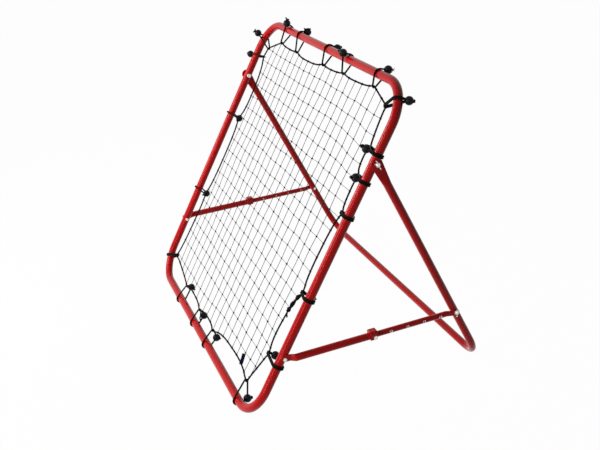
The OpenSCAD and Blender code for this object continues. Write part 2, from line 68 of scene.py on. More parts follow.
TUBE_R = 12.5 * MM
BEND_R = 100 * MM  # corners of the frame
LEG_R = 11 * MM
LEG_WALL = 1.5 * MM
LEG_BEND_R = 85 * MM
LEG_CRUSH = 30 * MM  # from the pivot bolt to where the crushed end opens out
LEG_FLARE = 35 * MM
BRACE_R = 10 * MM
BRACE_WALL = 1.7 * MM
SLIDER_R = 8 * MM
SLIDER_WALL = 1.2 * MM
BRACE_CRUSH = 13 * MM
BRACE_FLARE = 18 * MM
HOLE_PITCH = 51 * MM
HOLE_R = 3.2 * MM
HOLES = 5  # the lock screw's hole is the last
RIM_R = 4.2 * MM  # of the bare, filed rim round a spare hole
RIM_CUT = 0.7 * MM
SLIDER_TAIL = 12 * MM  # of the rear half, in front of the lock screw
MOUTH = 8 * MM  # of the front half, behind the lock screw
MOUTH_EDGE = 0.6 * MM
PIVOT_BOLT_MM = 8  # thread diameters
BRACE_BOLT_MM = 6
PIVOT_HOLE_R = 4.1 * MM
BRACE_HOLE_R = 3.1 * MM  # for the brace bolts and the lock screw
EYE_R = 5 * MM  # at the rear half's crushed end
FLAT_DRILL = 12 * MM  # depth of a drill through a crushed end or one wall
TUBE_DRILL = 40 * MM  # and through a whole tube
FIT = 0.3 * MM
LEAN = radians(30.8)

CORD_R = 2.3 * MM  # elastic cord of the loops, where it seats
CORD_SHOWN_R = 2.5 * MM  # with its braided sleeve
ROPE_R = 2.0 * MM  # rope round the net, where the loops seat on it
BALL_R = 12.5 * MM
BALL_SHOWN_R = 11.8 * MM
CORD_GAP = 0.3 * MM
STRING_R = 0.78 * MM  # net strings up the slope
CROSS_R = 0.62 * MM  # net strings across
KNOTS = 20  # across the net, and down it

lower_low, lower_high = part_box("lower_frame")
upper_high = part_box("upper_frame")[1]
leg_low, leg_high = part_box("rear_leg")
HALF_W = lower_high.x - TUBE_R
PLANE_ORIGIN = Vector((0, lower_low.y + TUBE_R, lower_low.z + TUBE_R))
SLOPE_L = (upper_high.z - TUBE_R - PLANE_ORIGIN.z) / cos(LEAN)
UP = Vector((0, sin(LEAN), cos(LEAN)))
OUT_OF_FRONT = Vector((0, -cos(LEAN), sin(LEAN)))
ACROSS = Vector((1, 0, 0))


def axes_at(x_axis, y_axis, z_axis, at):
    """The place at a point with the given axes."""
    place = Matrix((x_axis, y_axis, z_axis)).transposed().to_4x4()
    place.translation = at
    return place


def centre_of(node):
    """The middle of a node's box, on the plane of symmetry."""
    low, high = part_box(node)
    return Vector((0, (low.y + high.y) / 2, (low.z + high.z) / 2))


def turned_to(start, end):
    """A place at start whose Y axis runs to end and whose X axis is the world's."""
    along = (end - start).normalized()
    return axes_at(ACROSS, along, ACROSS.cross(along), start)


PLANE = axes_at(ACROSS, UP, OUT_OF_FRONT, PLANE_ORIGIN)
TILT = PLANE.to_3x3()
FACE = HALF_W + TUBE_R
LEG_X = leg_high.x - LEG_R
BRACE_X = FACE + BRACE_R
LEG_FOOT = Vector((0, leg_high.y - LEG_R, leg_low.z + LEG_R))
PIVOT = centre_of("pivot_washers")
BRACE_A = centre_of("brace_nuts_front")
BRACE_B = centre_of("brace_washers_rear")
LEG_L = (PIVOT - LEG_FOOT).length
BRACE_L = (BRACE_B - BRACE_A).length
LOCK_AT = BRACE_L - HOLES * HOLE_PITCH
LEG_PLACE = turned_to(LEG_FOOT, PIVOT)
BRACE_PLACE = Matrix.Translation(ACROSS * BRACE_X) @ turned_to(BRACE_A, BRACE_B)

# Each elastic loop, clockwise from the top left: its name, the tube's side (0 top, 1 right,
# 2 bottom, 3 left), its place from that side's middle, the rope's distance from the tube,
# the depth of the rope's next scallop, and its ball (inward, forward, along the tube)
TIES_MM = [
    ("left_5", 3, 448, 71, 0, (-18, 22, -26)),
    ("top_1", 0, -338, 46, 6, (-17.5, 19, 17)),
    ("top_2", 0, -200, 49, 12, (-20, -17, -22)),
    ("top_3", 0, 12, 45, 6, (-14, -24, -8)),
    ("top_4", 0, 151, 40, 8, (-10, 25, -4)),
    ("top_5", 0, 341, 33, 0, (-20, -18, 0)),
    ("right_1", 1, 466, 48, 4, (-19, -19, -15)),
    ("right_2", 1, 312, 47, 14, (37, 15, -5)),
    ("right_3", 1, 236, 41, 8, (23.5, 15.5, -6)),
    ("right_4", 1, 131, 36, 15, (22, -18, 0)),
    ("right_5", 1, -110, 44, 20, (22, -18, 0)),
    ("right_6", 1, -310, 70, 0, (64, -18, 0)),
    ("bottom_1", 2, 386, 58, 25, (11, -24, 5)),
    ("bottom_2", 2, 68, 46, 13, (28, -22, 0)),
    ("bottom_3", 2, -80, 42, 13, (31, -20, 5)),
    ("bottom_4", 2, -248, 48, 4, (49, -18, -5)),
    ("left_1", 3, -430, 57, 10, (-25, -13, 0)),
    ("left_2", 3, -150, 79, 16, (45.5, -16, -6)),
    ("left_3", 3, 143, 82, 27, (46.5, -16, -4)),
    ("left_4", 3, 370, 66, 0, (-25, 12, -14)),
]
TIE_NAMES = [t[0] for t in TIES_MM]
KNOT_TIE = TIE_NAMES.index("right_5")


# -------- places on the frame

SIDE_OUT = [Vector((0, 1, 0)), Vector((1, 0, 0)), Vector((0, -1, 0)), Vector((-1, 0, 0))]
SIDE_ALONG = [Vector((1, 0, 0)), Vector((0, 1, 0)), Vector((1, 0, 0)), Vector((0, 1, 0))]
FORWARD = Vector((0, 0, 1))


def station(side, along):
    """A place on the frame's axis: its point, the inward direction and the tube's direction."""
    far = SLOPE_L / 2 if side % 2 == 0 else HALF_W
    straight = (HALF_W if side % 2 == 0 else SLOPE_L / 2) - BEND_R
    run = copysign(min(abs(along), straight), along)
    turn = (along - run) / BEND_R
    out, way = SIDE_OUT[side], SIDE_ALONG[side]
    point = (Vector((0, SLOPE_L / 2, 0)) + out * (far - BEND_R * (1 - cos(turn)))
             + way * (run + BEND_R * sin(turn)))
    return point, -out * cos(turn) - way * sin(turn), \
        way * cos(turn) - out * sin(turn)


class Tie:
    """One elastic loop, in metres."""

    def __init__(self, row):
        self.name, self.side, along, reach, sag, ball = row
        self.at, self.inward, self.tube_way = station(self.side, along * MM)
        self.reach = reach * MM
        self.sag = sag * MM
        self.ball_in, self.ball_out, self.ball_along = (b * MM for b in ball)
        self.net_point = self.at + self.inward * self.reach
        self.ball = (self.at + self.inward * self.ball_in + FORWARD * self.ball_out
                     + self.tube_way * self.ball_along)


TIES = [Tie(row) for row in TIES_MM]


def rope_at(i, f):
    """The rope's scallop between tie i and the next, at share f of the way."""
    a, b = TIES[i % len(TIES)], TIES[(i + 1) % len(TIES)]
    run = b.net_point - a.net_point
    inward = Vector((run.y, -run.x, 0)).normalized()
    return a.net_point + run * f + inward * a.sag * (1 - abs(2 * f - 1) ** 3)


def bight(i):
    """From tie i's place on the rope to its loop's bight, clear of both sides of the corner."""
    p = rope_at(i, 0)
    back = (rope_at(i - 1, 0.88) - p).normalized()
    on = (rope_at(i, 0.12) - p).normalized()
    t = (on - back).normalized()
    return Vector((t.y, -t.x, 0)) * (ROPE_R + CORD_GAP + CORD_R) / on.dot(t)


# -------- mesh helpers

def link(name, data):
    """A new object in the scene."""
    obj = bpy.data.objects.new(name, data)
    bpy.context.scene.collection.objects.link(obj)
    return obj


def finish_mesh(name, bm, crease=40):
    """The bmesh as a new object, smooth but for edges sharper than crease degrees."""
    mesh = bpy.data.meshes.new(name)
    bm.to_mesh(mesh)
    bm.free()
    mesh.shade_smooth()
    mesh.set_sharp_from_angle(angle=radians(crease))
    return link(name, mesh)


def add_shape(bm, shape, place=Matrix()):
    """Moves a shape's bmesh to its place, adds it to bm and frees it."""
    shape.transform(place)
    if place.determinant() < 0:
        bmesh.ops.reverse_faces(shape, faces=shape.faces)
    mesh = bpy.data.meshes.new("shape")
    shape.to_mesh(mesh)
    shape.free()
    bm.from_mesh(mesh)
    bpy.data.meshes.remove(mesh)


def mirrored(bm, weld=0.0):
    """Adds the bmesh's own copy on the other side of X = 0."""
    bmesh.ops.mirror(bm, geom=bm.verts[:] + bm.edges[:] + bm.faces[:], axis="X", merge_dist=weld)
    bmesh.ops.recalc_face_normals(bm, faces=bm.faces)


def baked(obj):
    """Applies the object's modifiers."""
    graph = bpy.context.evaluated_depsgraph_get()
    graph.update()
    mesh = bpy.data.meshes.new_from_object(obj.evaluated_get(graph))
    obj.modifiers.clear()
    obj.data = mesh


def sweep_mesh(name, paths, radius, sides=8, closed=False, taper=None):
    """Round cords along paths of points in space, as one mesh with its length in the UVs."""
    curve = bpy.data.curves.new(name, "CURVE")
    curve.dimensions = "3D"
    curve.bevel_depth = radius
    curve.bevel_resolution = (sides - 4) // 2
    curve.use_fill_caps = not closed
    for path in paths:
        spline = curve.splines.new("POLY")
        spline.points.add(len(path) - 1)
        for k, p in enumerate(path):
            spline.points[k].co = (*p, 1)
            if taper:
                spline.points[k].radius = taper(k / (len(path) - 1))
        spline.use_cyclic_u = closed
    helper = link(name + "_curve", curve)
    bpy.context.view_layer.update()
    mesh = bpy.data.meshes.new_from_object(helper)
    bpy.data.objects.remove(helper)
    mesh.name = name
    mesh.shade_smooth()
    length = max(sum((b - a).length for a, b in zip(path, path[1:])) for path in paths)
    for corner in mesh.uv_layers[0].data:
        corner.uv = (corner.uv[0] * length, corner.uv[1])
    return mesh


def smooth_path(points, steps, closed=False):
    """Catmull-Rom points through the given ones."""
    n = len(points)
    count = n if closed else n - 1
    out = []
    for i in range(count):
        if closed:
            p0, p1, p2, p3 = (points[(i + k) % n] for k in (-1, 0, 1, 2))
        else:
            p1, p2 = points[i], points[i + 1]
            p0 = points[i - 1] if i else p1 * 2 - p2
            p3 = points[i + 2] if i + 2 < n else p2 * 2 - p1
        for s in range(steps):
            t = s / steps
            out.append(0.5 * (2 * p1 + (p2 - p0) * t + (2 * p0 - 5 * p1 + 4 * p2 - p3) * t * t
                              + (3 * p1 - 3 * p2 + p3 - p0) * t ** 3))
    if not closed:
        out.append(points[-1].copy())
    return out


def even_path(path, step):
    """The same path with a point about every step, each with its distance from the start."""
    marks = [0]
    for a, b in zip(path, path[1:]):
        marks.append(marks[-1] + (b - a).length)
    count = max(2, round(marks[-1] / step))
    out, j = [], 0
    for k in range(count + 1):
        want = marks[-1] * k / count
        while j < len(path) - 2 and marks[j + 1] < want:
            j += 1
        share = (want - marks[j]) / (marks[j + 1] - marks[j])
        out.append((want, path[j].lerp(path[j + 1], min(1, share))))
    return out


def wound_round(path, offset, pitch, phase, side, step, closed=False):
    """A helix at an offset round a path; side is a direction square to most of the path."""
    track = even_path(path, step)
    if closed:
        pitch = track[-1][0] / round(track[-1][0] / pitch)
    out = []
    for k, (done, p) in enumerate(track):
        before = track[max(0, k - 1)][1]
        after = track[min(len(track) - 1, k + 1)][1]
        along = (after - before).normalized()
        e1 = along.cross(side).normalized()
        a = phase + 2 * pi * done / pitch
        out.append(p + (e1 * cos(a) + along.cross(e1) * sin(a)) * offset)
    return out[:-1] if closed else out


def trefoil(size, steps, flat=1.0):
    """The closed path of an overhand knot about its own middle."""
    out = []
    for k in range(steps):
        t = 2 * pi * k / steps
        out.append(Vector((sin(t) + 2 * sin(2 * t), cos(t) - 2 * cos(2 * t),
                           -flat * sin(3 * t))) * size / 3)
    return out


def turned(profile, steps=32):
    """A solid revolved about Z from (radius, height) points that start and end on the axis."""
    bm = bmesh.new()
    verts = [bm.verts.new((r * MM, 0, z * MM)) for r, z in profile]
    edges = [bm.edges.new(pair) for pair in zip(verts, verts[1:])]
    bmesh.ops.spin(bm, geom=verts + edges, cent=(0, 0, 0), axis=(0, 0, 1), angle=2 * pi,
                   steps=steps, use_merge=True)
    bmesh.ops.remove_doubles(bm, verts=bm.verts, dist=1e-6)
    bmesh.ops.recalc_face_normals(bm, faces=bm.faces)
    return bm


TUBE_SIDES = 48


def tube_ring(bm, place, half_t, half_w):
    """The edges of a tube's outline in the place's XY plane: two half circles and flats."""
    verts = bmesh.ops.create_circle(bm, segments=TUBE_SIDES, radius=half_t,
                                    matrix=Matrix.Rotation(pi / TUBE_SIDES, 4, "Z"))["verts"]
    for v in verts:
        v.co.y += copysign(half_w - half_t, v.co.y)
    bmesh.ops.transform(bm, matrix=place, verts=verts)
    edges = []
    for v in verts:
        edges += [edge for edge in v.link_edges if edge not in edges]
    return edges


def loft(rings, caps=(True, True), bore_from=None):
    """A skin over (place, half thickness, half width) rings; its bore's faces get slot 1."""
    bm = bmesh.new()
    loops = [tube_ring(bm, *ring) for ring in rings]
    for k, (a, b) in enumerate(zip(loops, loops[1:])):
        for face in bmesh.ops.bridge_loops(bm, edges=a + b)["faces"]:
            face.material_index = int(bore_from is not None and k >= bore_from)
    for wanted, loop in zip(caps, (loops[0], loops[-1])):
        if wanted:
            bmesh.ops.edgeloop_fill(bm, edges=loop)
    bmesh.ops.recalc_face_normals(bm, faces=bm.faces)
    return bm


def drilled(obj, holes, slot=0):
    """Drills holes along X, each (middle, radius, depth); their walls get the given slot."""
    bm = bmesh.new()
    for middle, radius, depth in holes:
        bmesh.ops.create_cone(bm, cap_ends=True, segments=32, radius1=radius, radius2=radius,
                              depth=depth, matrix=Matrix.Translation(middle)
                              @ Matrix.Rotation(pi / 2, 4, "Y"))
    for face in bm.faces:
        face.material_index = slot
    drill = finish_mesh(obj.name + "_drill", bm)
    cut = obj.modifiers.new("drill", "BOOLEAN")
    cut.operation = "DIFFERENCE"
    cut.solver = "MANIFOLD"
    cut.object = drill
    baked(obj)
    bpy.data.objects.remove(drill)
    obj.data.set_sharp_from_angle(angle=radians(40))


# -------- materials

def new_material(name):
    mat = bpy.data.materials.new(name)
    mat.use_nodes = True
    tree = mat.node_tree
    return mat, tree, tree.nodes["Principled BSDF"]


def add(tree, kind, **values):
    node = tree.nodes.new(kind)
    for key, value in values.items():
        if hasattr(node, key):
            setattr(node, key, value)
        else:
            node.inputs[key.replace("_", " ")].default_value = value
    return node


def pattern(tree, kind, **values):
    """The outputs of a texture node on the object's own coordinates."""
    node = add(tree, kind, **values)
    tree.links.new(add(tree, "ShaderNodeTexCoord").outputs["Object"], node.inputs["Vector"])
    return node.outputs


def speckle(tree, scale, detail=3.0, roughness=0.6):
    return pattern(tree, "ShaderNodeTexNoise", Scale=scale, Detail=detail,
                   Roughness=roughness)["Fac"]


def ramp(tree, source, target, *stops):
    """A colour ramp between two sockets, from its two (place, colour) stops."""
    node = tree.nodes.new("ShaderNodeValToRGB")
    for element, (place, colour) in zip(node.color_ramp.elements, stops):
        element.position = place
        element.color = (*colour, 1) if len(colour) == 3 else (colour[0],) * 3 + (1,)
    tree.links.new(source, node.inputs["Fac"])
    tree.links.new(node.outputs["Color"], target)


def bump(tree, shader, height, strength, distance):
    node = add(tree, "ShaderNodeBump", Strength=strength, Distance=distance)
    tree.links.new(height, node.inputs["Height"])
    tree.links.new(node.outputs["Normal"], shader.inputs["Normal"])


def set_shader(shader, **values):
    for key, value in values.items():
        shader.inputs[key.replace("_", " ")].default_value = value


def red_paint():
    """Gloss red powder coat: orange peel, soft changes of colour and a few dull rubs."""
    mat, tree, shader = new_material("red_powder_coat")
    ramp(tree, speckle(tree, 9, 4), shader.inputs["Base Color"],
         (0.3, (0.50, 0.002, 0.003)), (0.7, (0.57, 0.004, 0.005)))
    ramp(tree, speckle(tree, 40, 4, 0.5), shader.inputs["Roughness"],
         (0.35, (0.17,)), (0.8, (0.22,)))
    bump(tree, shader, speckle(tree, 260, 1), 0.02, 0.0001)
    set_shader(shader, IOR=1.35, Specular_Tint=(1, 0.35, 0.33, 1))
    return mat


def zinc():
    """Bright zinc plate with fine brushing and dull patches."""
    mat, tree, shader = new_material("zinc_plate")
    cloud = speckle(tree, 220, 6)
    ramp(tree, cloud, shader.inputs["Base Color"],
         (0.3, (0.52, 0.51, 0.48)), (0.7, (0.80, 0.79, 0.76)))
    ramp(tree, cloud, shader.inputs["Roughness"], (0.3, (0.26,)), (0.8, (0.46,)))
    bump(tree, shader, speckle(tree, 1500, 2), 0.08, 0.0002)
    set_shader(shader, Metallic=1.0)
    return mat


def bare_bore():
    """Bright galvanised steel inside a tube and round its drilled holes."""
    mat, tree, shader = new_material("galvanised_bore")
    spangle = pattern(tree, "ShaderNodeTexVoronoi", Scale=260.0)["Color"]
    ramp(tree, spangle, shader.inputs["Base Color"],
         (0.2, (0.90, 0.87, 0.86)), (0.8, (0.97, 0.95, 0.94)))
    ramp(tree, speckle(tree, 400), shader.inputs["Roughness"], (0.3, (0.30,)), (0.7, (0.45,)))
    set_shader(shader, Metallic=0.7)
    return mat


def crossed_strands(tree, strands, pitch):
    """Height of strands that cross on the piece's own UVs, 0 to 0.5."""
    uv = add(tree, "ShaderNodeUVMap").outputs["UV"]
    heights = []
    for sign in (1, -1):
        scaled = add(tree, "ShaderNodeMapping")
        scaled.inputs["Scale"].default_value = (1 / pitch, strands * sign, 1)
        tree.links.new(uv, scaled.inputs["Vector"])
        split = add(tree, "ShaderNodeSeparateXYZ")
        tree.links.new(scaled.outputs["Vector"], split.inputs["Vector"])
        total = add(tree, "ShaderNodeMath", operation="ADD")
        tree.links.new(split.outputs["X"], total.inputs[0])
        tree.links.new(split.outputs["Y"], total.inputs[1])
        wave = add(tree, "ShaderNodeMath", operation="PINGPONG")
        wave.inputs[1].default_value = 0.5
        tree.links.new(total.outputs["Value"], wave.inputs[0])
        heights.append(wave.outputs["Value"])
    top = add(tree, "ShaderNodeMath", operation="MAXIMUM")
    tree.links.new(heights[0], top.inputs[0])
    tree.links.new(heights[1], top.inputs[1])
    return top.outputs["Value"]


def elastic():
    """Braided black sleeve of the elastic cord, darker in the braid's grooves: painted shade."""
    mat, tree, shader = new_material("elastic_braid")
    height = crossed_strands(tree, 6, 5 * MM)
    # The base colour follows the braid's height, darker in the grooves between strands: painted shade.
    ramp(tree, height, shader.inputs["Base Color"], (0.2, (0.002,)), (0.5, (0.008,)))
    bump(tree, shader, height, 0.6, 0.0006)
    set_shader(shader, Roughness=0.7, Specular_IOR_Level=0.06)
    return mat


def fibre(name, dark, light, specular, scale=900.0):
    """Dull twisted fibre, a little lighter where it stands out and darker in its hollows: painted
    shade.
    """
    mat, tree, shader = new_material(name)
    strands = speckle(tree, scale)
    # The base colour follows the bump's height, darker in the hollows between fibres: painted shade.
    ramp(tree, strands, shader.inputs["Base Color"], (0.3, dark), (0.75, light))
    bump(tree, shader, strands, 0.5, 0.0004)
    set_shader(shader, Roughness=0.75, Specular_IOR_Level=specular)
    return mat


def ball_plastic():
    """Moulded black plastic with a faint grain, darker in the grain's low spots: painted shade."""
    mat, tree, shader = new_material("ball_plastic")
    grain = speckle(tree, 500, 4)
    # The base colour follows the grain's bump height, darker in its low spots: painted shade.
    ramp(tree, grain, shader.inputs["Base Color"],
         (0.3, (0.002, 0.002, 0.004)), (0.8, (0.005, 0.005, 0.009)))
    ramp(tree, grain, shader.inputs["Roughness"], (0.3, (0.28,)), (0.8, (0.45,)))
    bump(tree, shader, grain, 0.15, 0.0004)
    set_shader(shader, Specular_IOR_Level=0.12)
    return mat


PAINT = red_paint()
ZINC = zinc()
BORE = bare_bore()
ELASTIC = elastic()
ROPE = fibre("net_rope", (0.002,), (0.008,), 0.06)
TWINE = fibre("net_twine", (0.012,), (0.035,), 0.15)
TAPE = fibre("navy_tape", (0.006, 0.006, 0.028), (0.012, 0.012, 0.050), 0.1, 700.0)
# Pale grey strands at one elastic end: a painted glint.
PAINTED_GLINT = fibre("rubber_strands", (0.45, 0.45, 0.43), (0.75, 0.75, 0.72), 0.2)
PLASTIC = ball_plastic()


def dress(obj, materials, body, replaced=()):
    """Gives a piece its materials, the body it rides on and the nodes it replaces."""
    slots = obj.data.materials
    for k, material in enumerate(materials):
        if k < len(slots):
            slots[k] = material
        else:
            slots.append(material)
    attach(obj, body)
    if replaced:
        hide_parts(*replaced)
    return obj


# -------- painted tubes

def at_height(x, y):
    """A ring's place on a tube that runs along Y at (x, y), its thickness along X."""
    along = Vector((0, 1, 0))
    return axes_at(ACROSS, along.cross(ACROSS), along, (x, y, 0))


FLARE_RINGS = 12
END_RINGS = 9
LEG_BEND_RINGS = 20
SLIDER_RINGS = 40


def crushed_rings(round_x, flat_x, start, radius, half_t, half_w, flare, crush):
    """Rings from a round tube at start to its flat, rounded end past the bolt at its middle."""
    rings = []
    for k in range(FLARE_RINGS + 1):
        share = k / FLARE_RINGS
        ease = share * share * (3 - 2 * share)
        spread = share * flare / (flare + crush)
        rings.append((at_height(round_x + (flat_x - round_x) * ease, start + flare * share),
                      radius + (half_t - radius) * ease, radius + (half_w - radius) * spread))
    bolt = start + flare + crush
    rings.append((at_height(flat_x, bolt), half_t, half_w))
    last = acos(half_t / half_w)
    for k in range(1, END_RINGS + 1):
        turn = last * k / END_RINGS
        rings.append((at_height(flat_x, bolt + half_w * sin(turn)), half_t,
                      half_w * cos(turn)))
    return rings


def rear_leg():
    """The leg's U of round tube with its two crushed ends, drilled for the pivot bolts."""
    rings = [(Matrix.Rotation(pi / 2, 4, "Y"), LEG_R, LEG_R)]
    for k in range(LEG_BEND_RINGS + 1):
        turn = pi / 2 * k / LEG_BEND_RINGS
        along = Vector((cos(turn), sin(turn), 0))
        thick = Vector((along.y, -along.x, 0))
        at = (LEG_X - LEG_BEND_R * (1 - along.y), LEG_BEND_R * (1 - along.x), 0)
        rings.append((axes_at(thick, along.cross(thick), along, at), LEG_R, LEG_R))
    flat_half_w = pi * (LEG_R - LEG_WALL) / 2 + LEG_WALL
    rings += crushed_rings(LEG_X, LEG_X, LEG_L - LEG_CRUSH - LEG_FLARE, LEG_R, LEG_WALL,
                           flat_half_w, LEG_FLARE, LEG_CRUSH)
    bm = loft(rings, caps=(False, True))
    bm.transform(LEG_PLACE)
    mirrored(bm, weld=1e-5)
    leg = finish_mesh("leg_tube", bm)
    drilled(leg, [(PIVOT + ACROSS * sign * LEG_X, PIVOT_HOLE_R, FLAT_DRILL) for sign in (1, -1)])
    dress(leg, [PAINT], "leg", ["rear_leg"])


def on_brace(side):
    """The place of a side's brace, and that side's sign along X."""
    if side == "right":
        return BRACE_PLACE, 1
    return Matrix.Scale(-1, 4, ACROSS) @ BRACE_PLACE, -1


def brace_tube(name, rings, place, bore_from=None):
    bm = loft(rings, bore_from=bore_from)
    bm.transform(place)
    bmesh.ops.recalc_face_normals(bm, faces=bm.faces)
    return finish_mesh(name, bm)


def brace_front(side):
    """A brace's front half, bored as far as the rear half can slide."""
    place, sign = on_brace(side)
    bore = BRACE_R - BRACE_WALL
    flat_x = FIT + BRACE_WALL - BRACE_R
    mouth = LOCK_AT + MOUTH
    round_from = BRACE_CRUSH + BRACE_FLARE
    back = Matrix.Scale(-1, 4, Vector((0, 1, 0)))
    end = crushed_rings(0, flat_x, -round_from, BRACE_R, BRACE_WALL, BRACE_R, BRACE_FLARE,
                        BRACE_CRUSH)
    rings = [(back @ ring, half_t, half_w) for ring, half_t, half_w in end[::-1]]
    rings += [(at_height(0, y), r, r) for y, r in
              ((mouth - MOUTH_EDGE, BRACE_R), (mouth, BRACE_R - MOUTH_EDGE), (mouth, bore),
               (round_from + 2 * MM, bore))]
    front = brace_tube("brace_tube_front_" + side, rings, place)
    drilled(front, [(BRACE_A + ACROSS * sign * (BRACE_X + flat_x), BRACE_HOLE_R, FLAT_DRILL),
                    (place @ Vector((BRACE_R, LOCK_AT, 0)), BRACE_HOLE_R, FLAT_DRILL)])
    dress(front, [PAINT], "brace_front_" + side, ["brace_front_" + side])


def brace_rear(side):
    """The half that slides in the front one, with bare metal in its bore and its holes."""
    place, sign = on_brace(side)
    bore = SLIDER_R - SLIDER_WALL
    tail = LOCK_AT - SLIDER_TAIL
    round_end = BRACE_L - BRACE_CRUSH - BRACE_FLARE
    flat_x = LEG_X + LEG_R + FIT + SLIDER_WALL - BRACE_X
    outer = [(at_height(0, tail + (round_end - tail) * k / SLIDER_RINGS), SLIDER_R, SLIDER_R)
             for k in range(SLIDER_RINGS)]
    outer += crushed_rings(0, flat_x, round_end, SLIDER_R, SLIDER_WALL, SLIDER_R, BRACE_FLARE,
                           BRACE_CRUSH)
    inner = [(at_height(0, y), bore, bore) for y in (tail, round_end)]
    rear = brace_tube("brace_tube_rear_" + side, outer[::-1] + inner, place, bore_from=len(outer))
    holes = [place @ Vector((0, BRACE_L - k * HOLE_PITCH, 0)) for k in range(1, HOLES + 1)]
    eye = (BRACE_B + ACROSS * sign * (BRACE_X + flat_x), EYE_R, FLAT_DRILL)
    drilled(rear, [(at, HOLE_R, TUBE_DRILL) for at in holes] + [eye], slot=1)
    drilled(rear, [(at + ACROSS * sign * (SLIDER_R + RIM_R - RIM_CUT), RIM_R, 2 * RIM_R)
                   for at in holes[:-1]], slot=1)
    dress(rear, [PAINT, BORE], "brace_rear_" + side, ["brace_rear_" + side])


# -------- bolts and nuts

def along_x(at, x, turn=0.0):
    """A place at x in the YZ point at, its Z axis along the world's X, turned about it."""
    return (Matrix.Translation(at + ACROSS * x) @ Matrix.Rotation(turn, 4, "X")
            @ Matrix.Rotation(pi / 2, 4, "Y"))


def domed_bolt(d, length, thread, pitch):
    """A bolt in mm: domed head under z = 0, threaded to its tip at z = length."""
    head_r, head_h = d * 0.9, d * 0.55
    dome = [(head_r * sin(a), -head_h * (0.25 + 0.75 * cos(a)))
            for a in (pi / 2 * k / 8 for k in range(9))]
    profile = dome + [(head_r, -0.05), (d / 2, -0.05), (d / 2, length - thread)]
    turns = int((thread - 1) / pitch)
    for k in range(turns):
        z = length - thread + pitch * k
        profile += [(d / 2 * 0.86, z + pitch * 0.45), (d / 2 * 0.86, z + pitch * 0.55),
                    (d / 2, z + pitch)]
    profile += [(d / 2 * 0.8, length - 0.4), (d / 2 * 0.62, length), (0, length)]
    return turned(profile)


def hex_nut(d):
    """A hexagon nut with chamfered corners, from z = 0."""
    height = d * 0.8
    bm = bmesh.new()
    bmesh.ops.create_cone(bm, cap_ends=True, segments=6, radius1=d * 0.95 * MM, radius2=d * 0.95 * MM,
                          depth=height * MM, matrix=Matrix.Translation((0, 0, height / 2 * MM)))
    bmesh.ops.bevel(bm, geom=bm.edges[:], affect="EDGES", offset=0.5 * MM, segments=2, profile=0.5,
                    material=-1)
    bmesh.ops.recalc_face_normals(bm, faces=bm.faces)
    return bm


def wing_nut(d):
    """A cast wing nut: a tapered hub and two round wings, blended by a fine remesh."""
    hub = d * 0.9
    wing_r, wing_t = d * 0.6 * MM, 2.3 * MM
    bm = turned([(0, 0), (d * 0.86, 0), (d * 0.875, 0.4), (d * 0.72, hub - 0.5), (d * 0.68, hub),
                 (0, hub)])
    for s in (-1, 1):
        wing = bmesh.new()
        made = bmesh.ops.create_cone(wing, cap_ends=True, segments=28, radius1=wing_r,
                                     radius2=wing_r, depth=wing_t)
        bmesh.ops.scale(wing, verts=made["verts"], vec=(1, 0.92, 1))
        add_shape(bm, wing, Matrix.Translation((0, s * d * 1.25 * MM, hub * MM))
                  @ Matrix.Rotation(pi / 2, 4, "Y"))
        web = bmesh.new()
        bmesh.ops.create_cube(web, size=1)
        add_shape(bm, web, Matrix.Translation((0, s * d * 0.8 * MM, hub * 0.62 * MM))
                  @ Matrix.Rotation(radians(s * -28), 4, "X")
                  @ Matrix.Diagonal((wing_t, d * 0.9 * MM, hub * 0.55 * MM, 1)))
    nut = finish_mesh("wing_nut_shape", bm)
    remesh = nut.modifiers.new("cast", "REMESH")
    remesh.mode = "VOXEL"
    remesh.voxel_size = 0.42 * MM
    soften = nut.modifiers.new("soften", "SMOOTH")
    soften.factor = 0.5
    soften.iterations = 7
    baked(nut)
    shape = nut.data
    bpy.data.objects.remove(nut)
    return shape


# Degrees that the nuts are turned about their bolts
HEX_TURN, PIVOT_WING_TURN, REAR_WING_TURN = 12, 115, 60


def bolts():
    """Bolts as the CAD places them: the node, its body, the place, diameter, head and thread."""
    frame_head = HALF_W - TUBE_R
    for node, body, at, d, head_x, thread, pitch in (
            ("pivot_bolts", "frame", PIVOT, PIVOT_BOLT_MM, frame_head, 12, 1.25),
            ("brace_bolts_front", "frame", BRACE_A, BRACE_BOLT_MM, frame_head, 10, 1.0),
            ("brace_bolts_rear", "leg", BRACE_B, BRACE_BOLT_MM, LEG_X - LEG_R, 12, 1.0)):
        length = (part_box(node)[1].x - head_x) / MM
        bm = bmesh.new()
        add_shape(bm, domed_bolt(d, length, thread, pitch), along_x(at, head_x))
        mirrored(bm)
        dress(finish_mesh("turned_" + node, bm), [ZINC], body, [node])


def nuts():
    """The front braces' hexagon nuts and the wing nuts, on the faces where the CAD seats them."""
    bm = bmesh.new()
    hex_x = FACE + FIT + 2 * BRACE_WALL + FIT
    add_shape(bm, hex_nut(BRACE_BOLT_MM), along_x(BRACE_A, hex_x, radians(HEX_TURN)))
    mirrored(bm)
    dress(finish_mesh("hex_nuts_front", bm, 25), [ZINC], "frame", ["brace_nuts_front"])
    rear_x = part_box("brace_washers_rear")[1].x
    for node, name, body, at, d, x, turn in (
            ("pivot_wing_nuts", "cast_wing_nuts_pivot", "frame", PIVOT, PIVOT_BOLT_MM,
             LEG_X + LEG_WALL + FIT, PIVOT_WING_TURN),
            ("brace_wing_nuts_rear", "cast_wing_nuts_rear", "leg", BRACE_B, BRACE_BOLT_MM,
             rear_x, REAR_WING_TURN)):
        shape = wing_nut(d)
        shape.transform(along_x(at, x, radians(turn)))
        bm = bmesh.new()
        bm.from_mesh(shape)
        mirrored(bm)
        dress(finish_mesh(name, bm, 60), [ZINC], body, [node])


# -------- elastic loops and balls

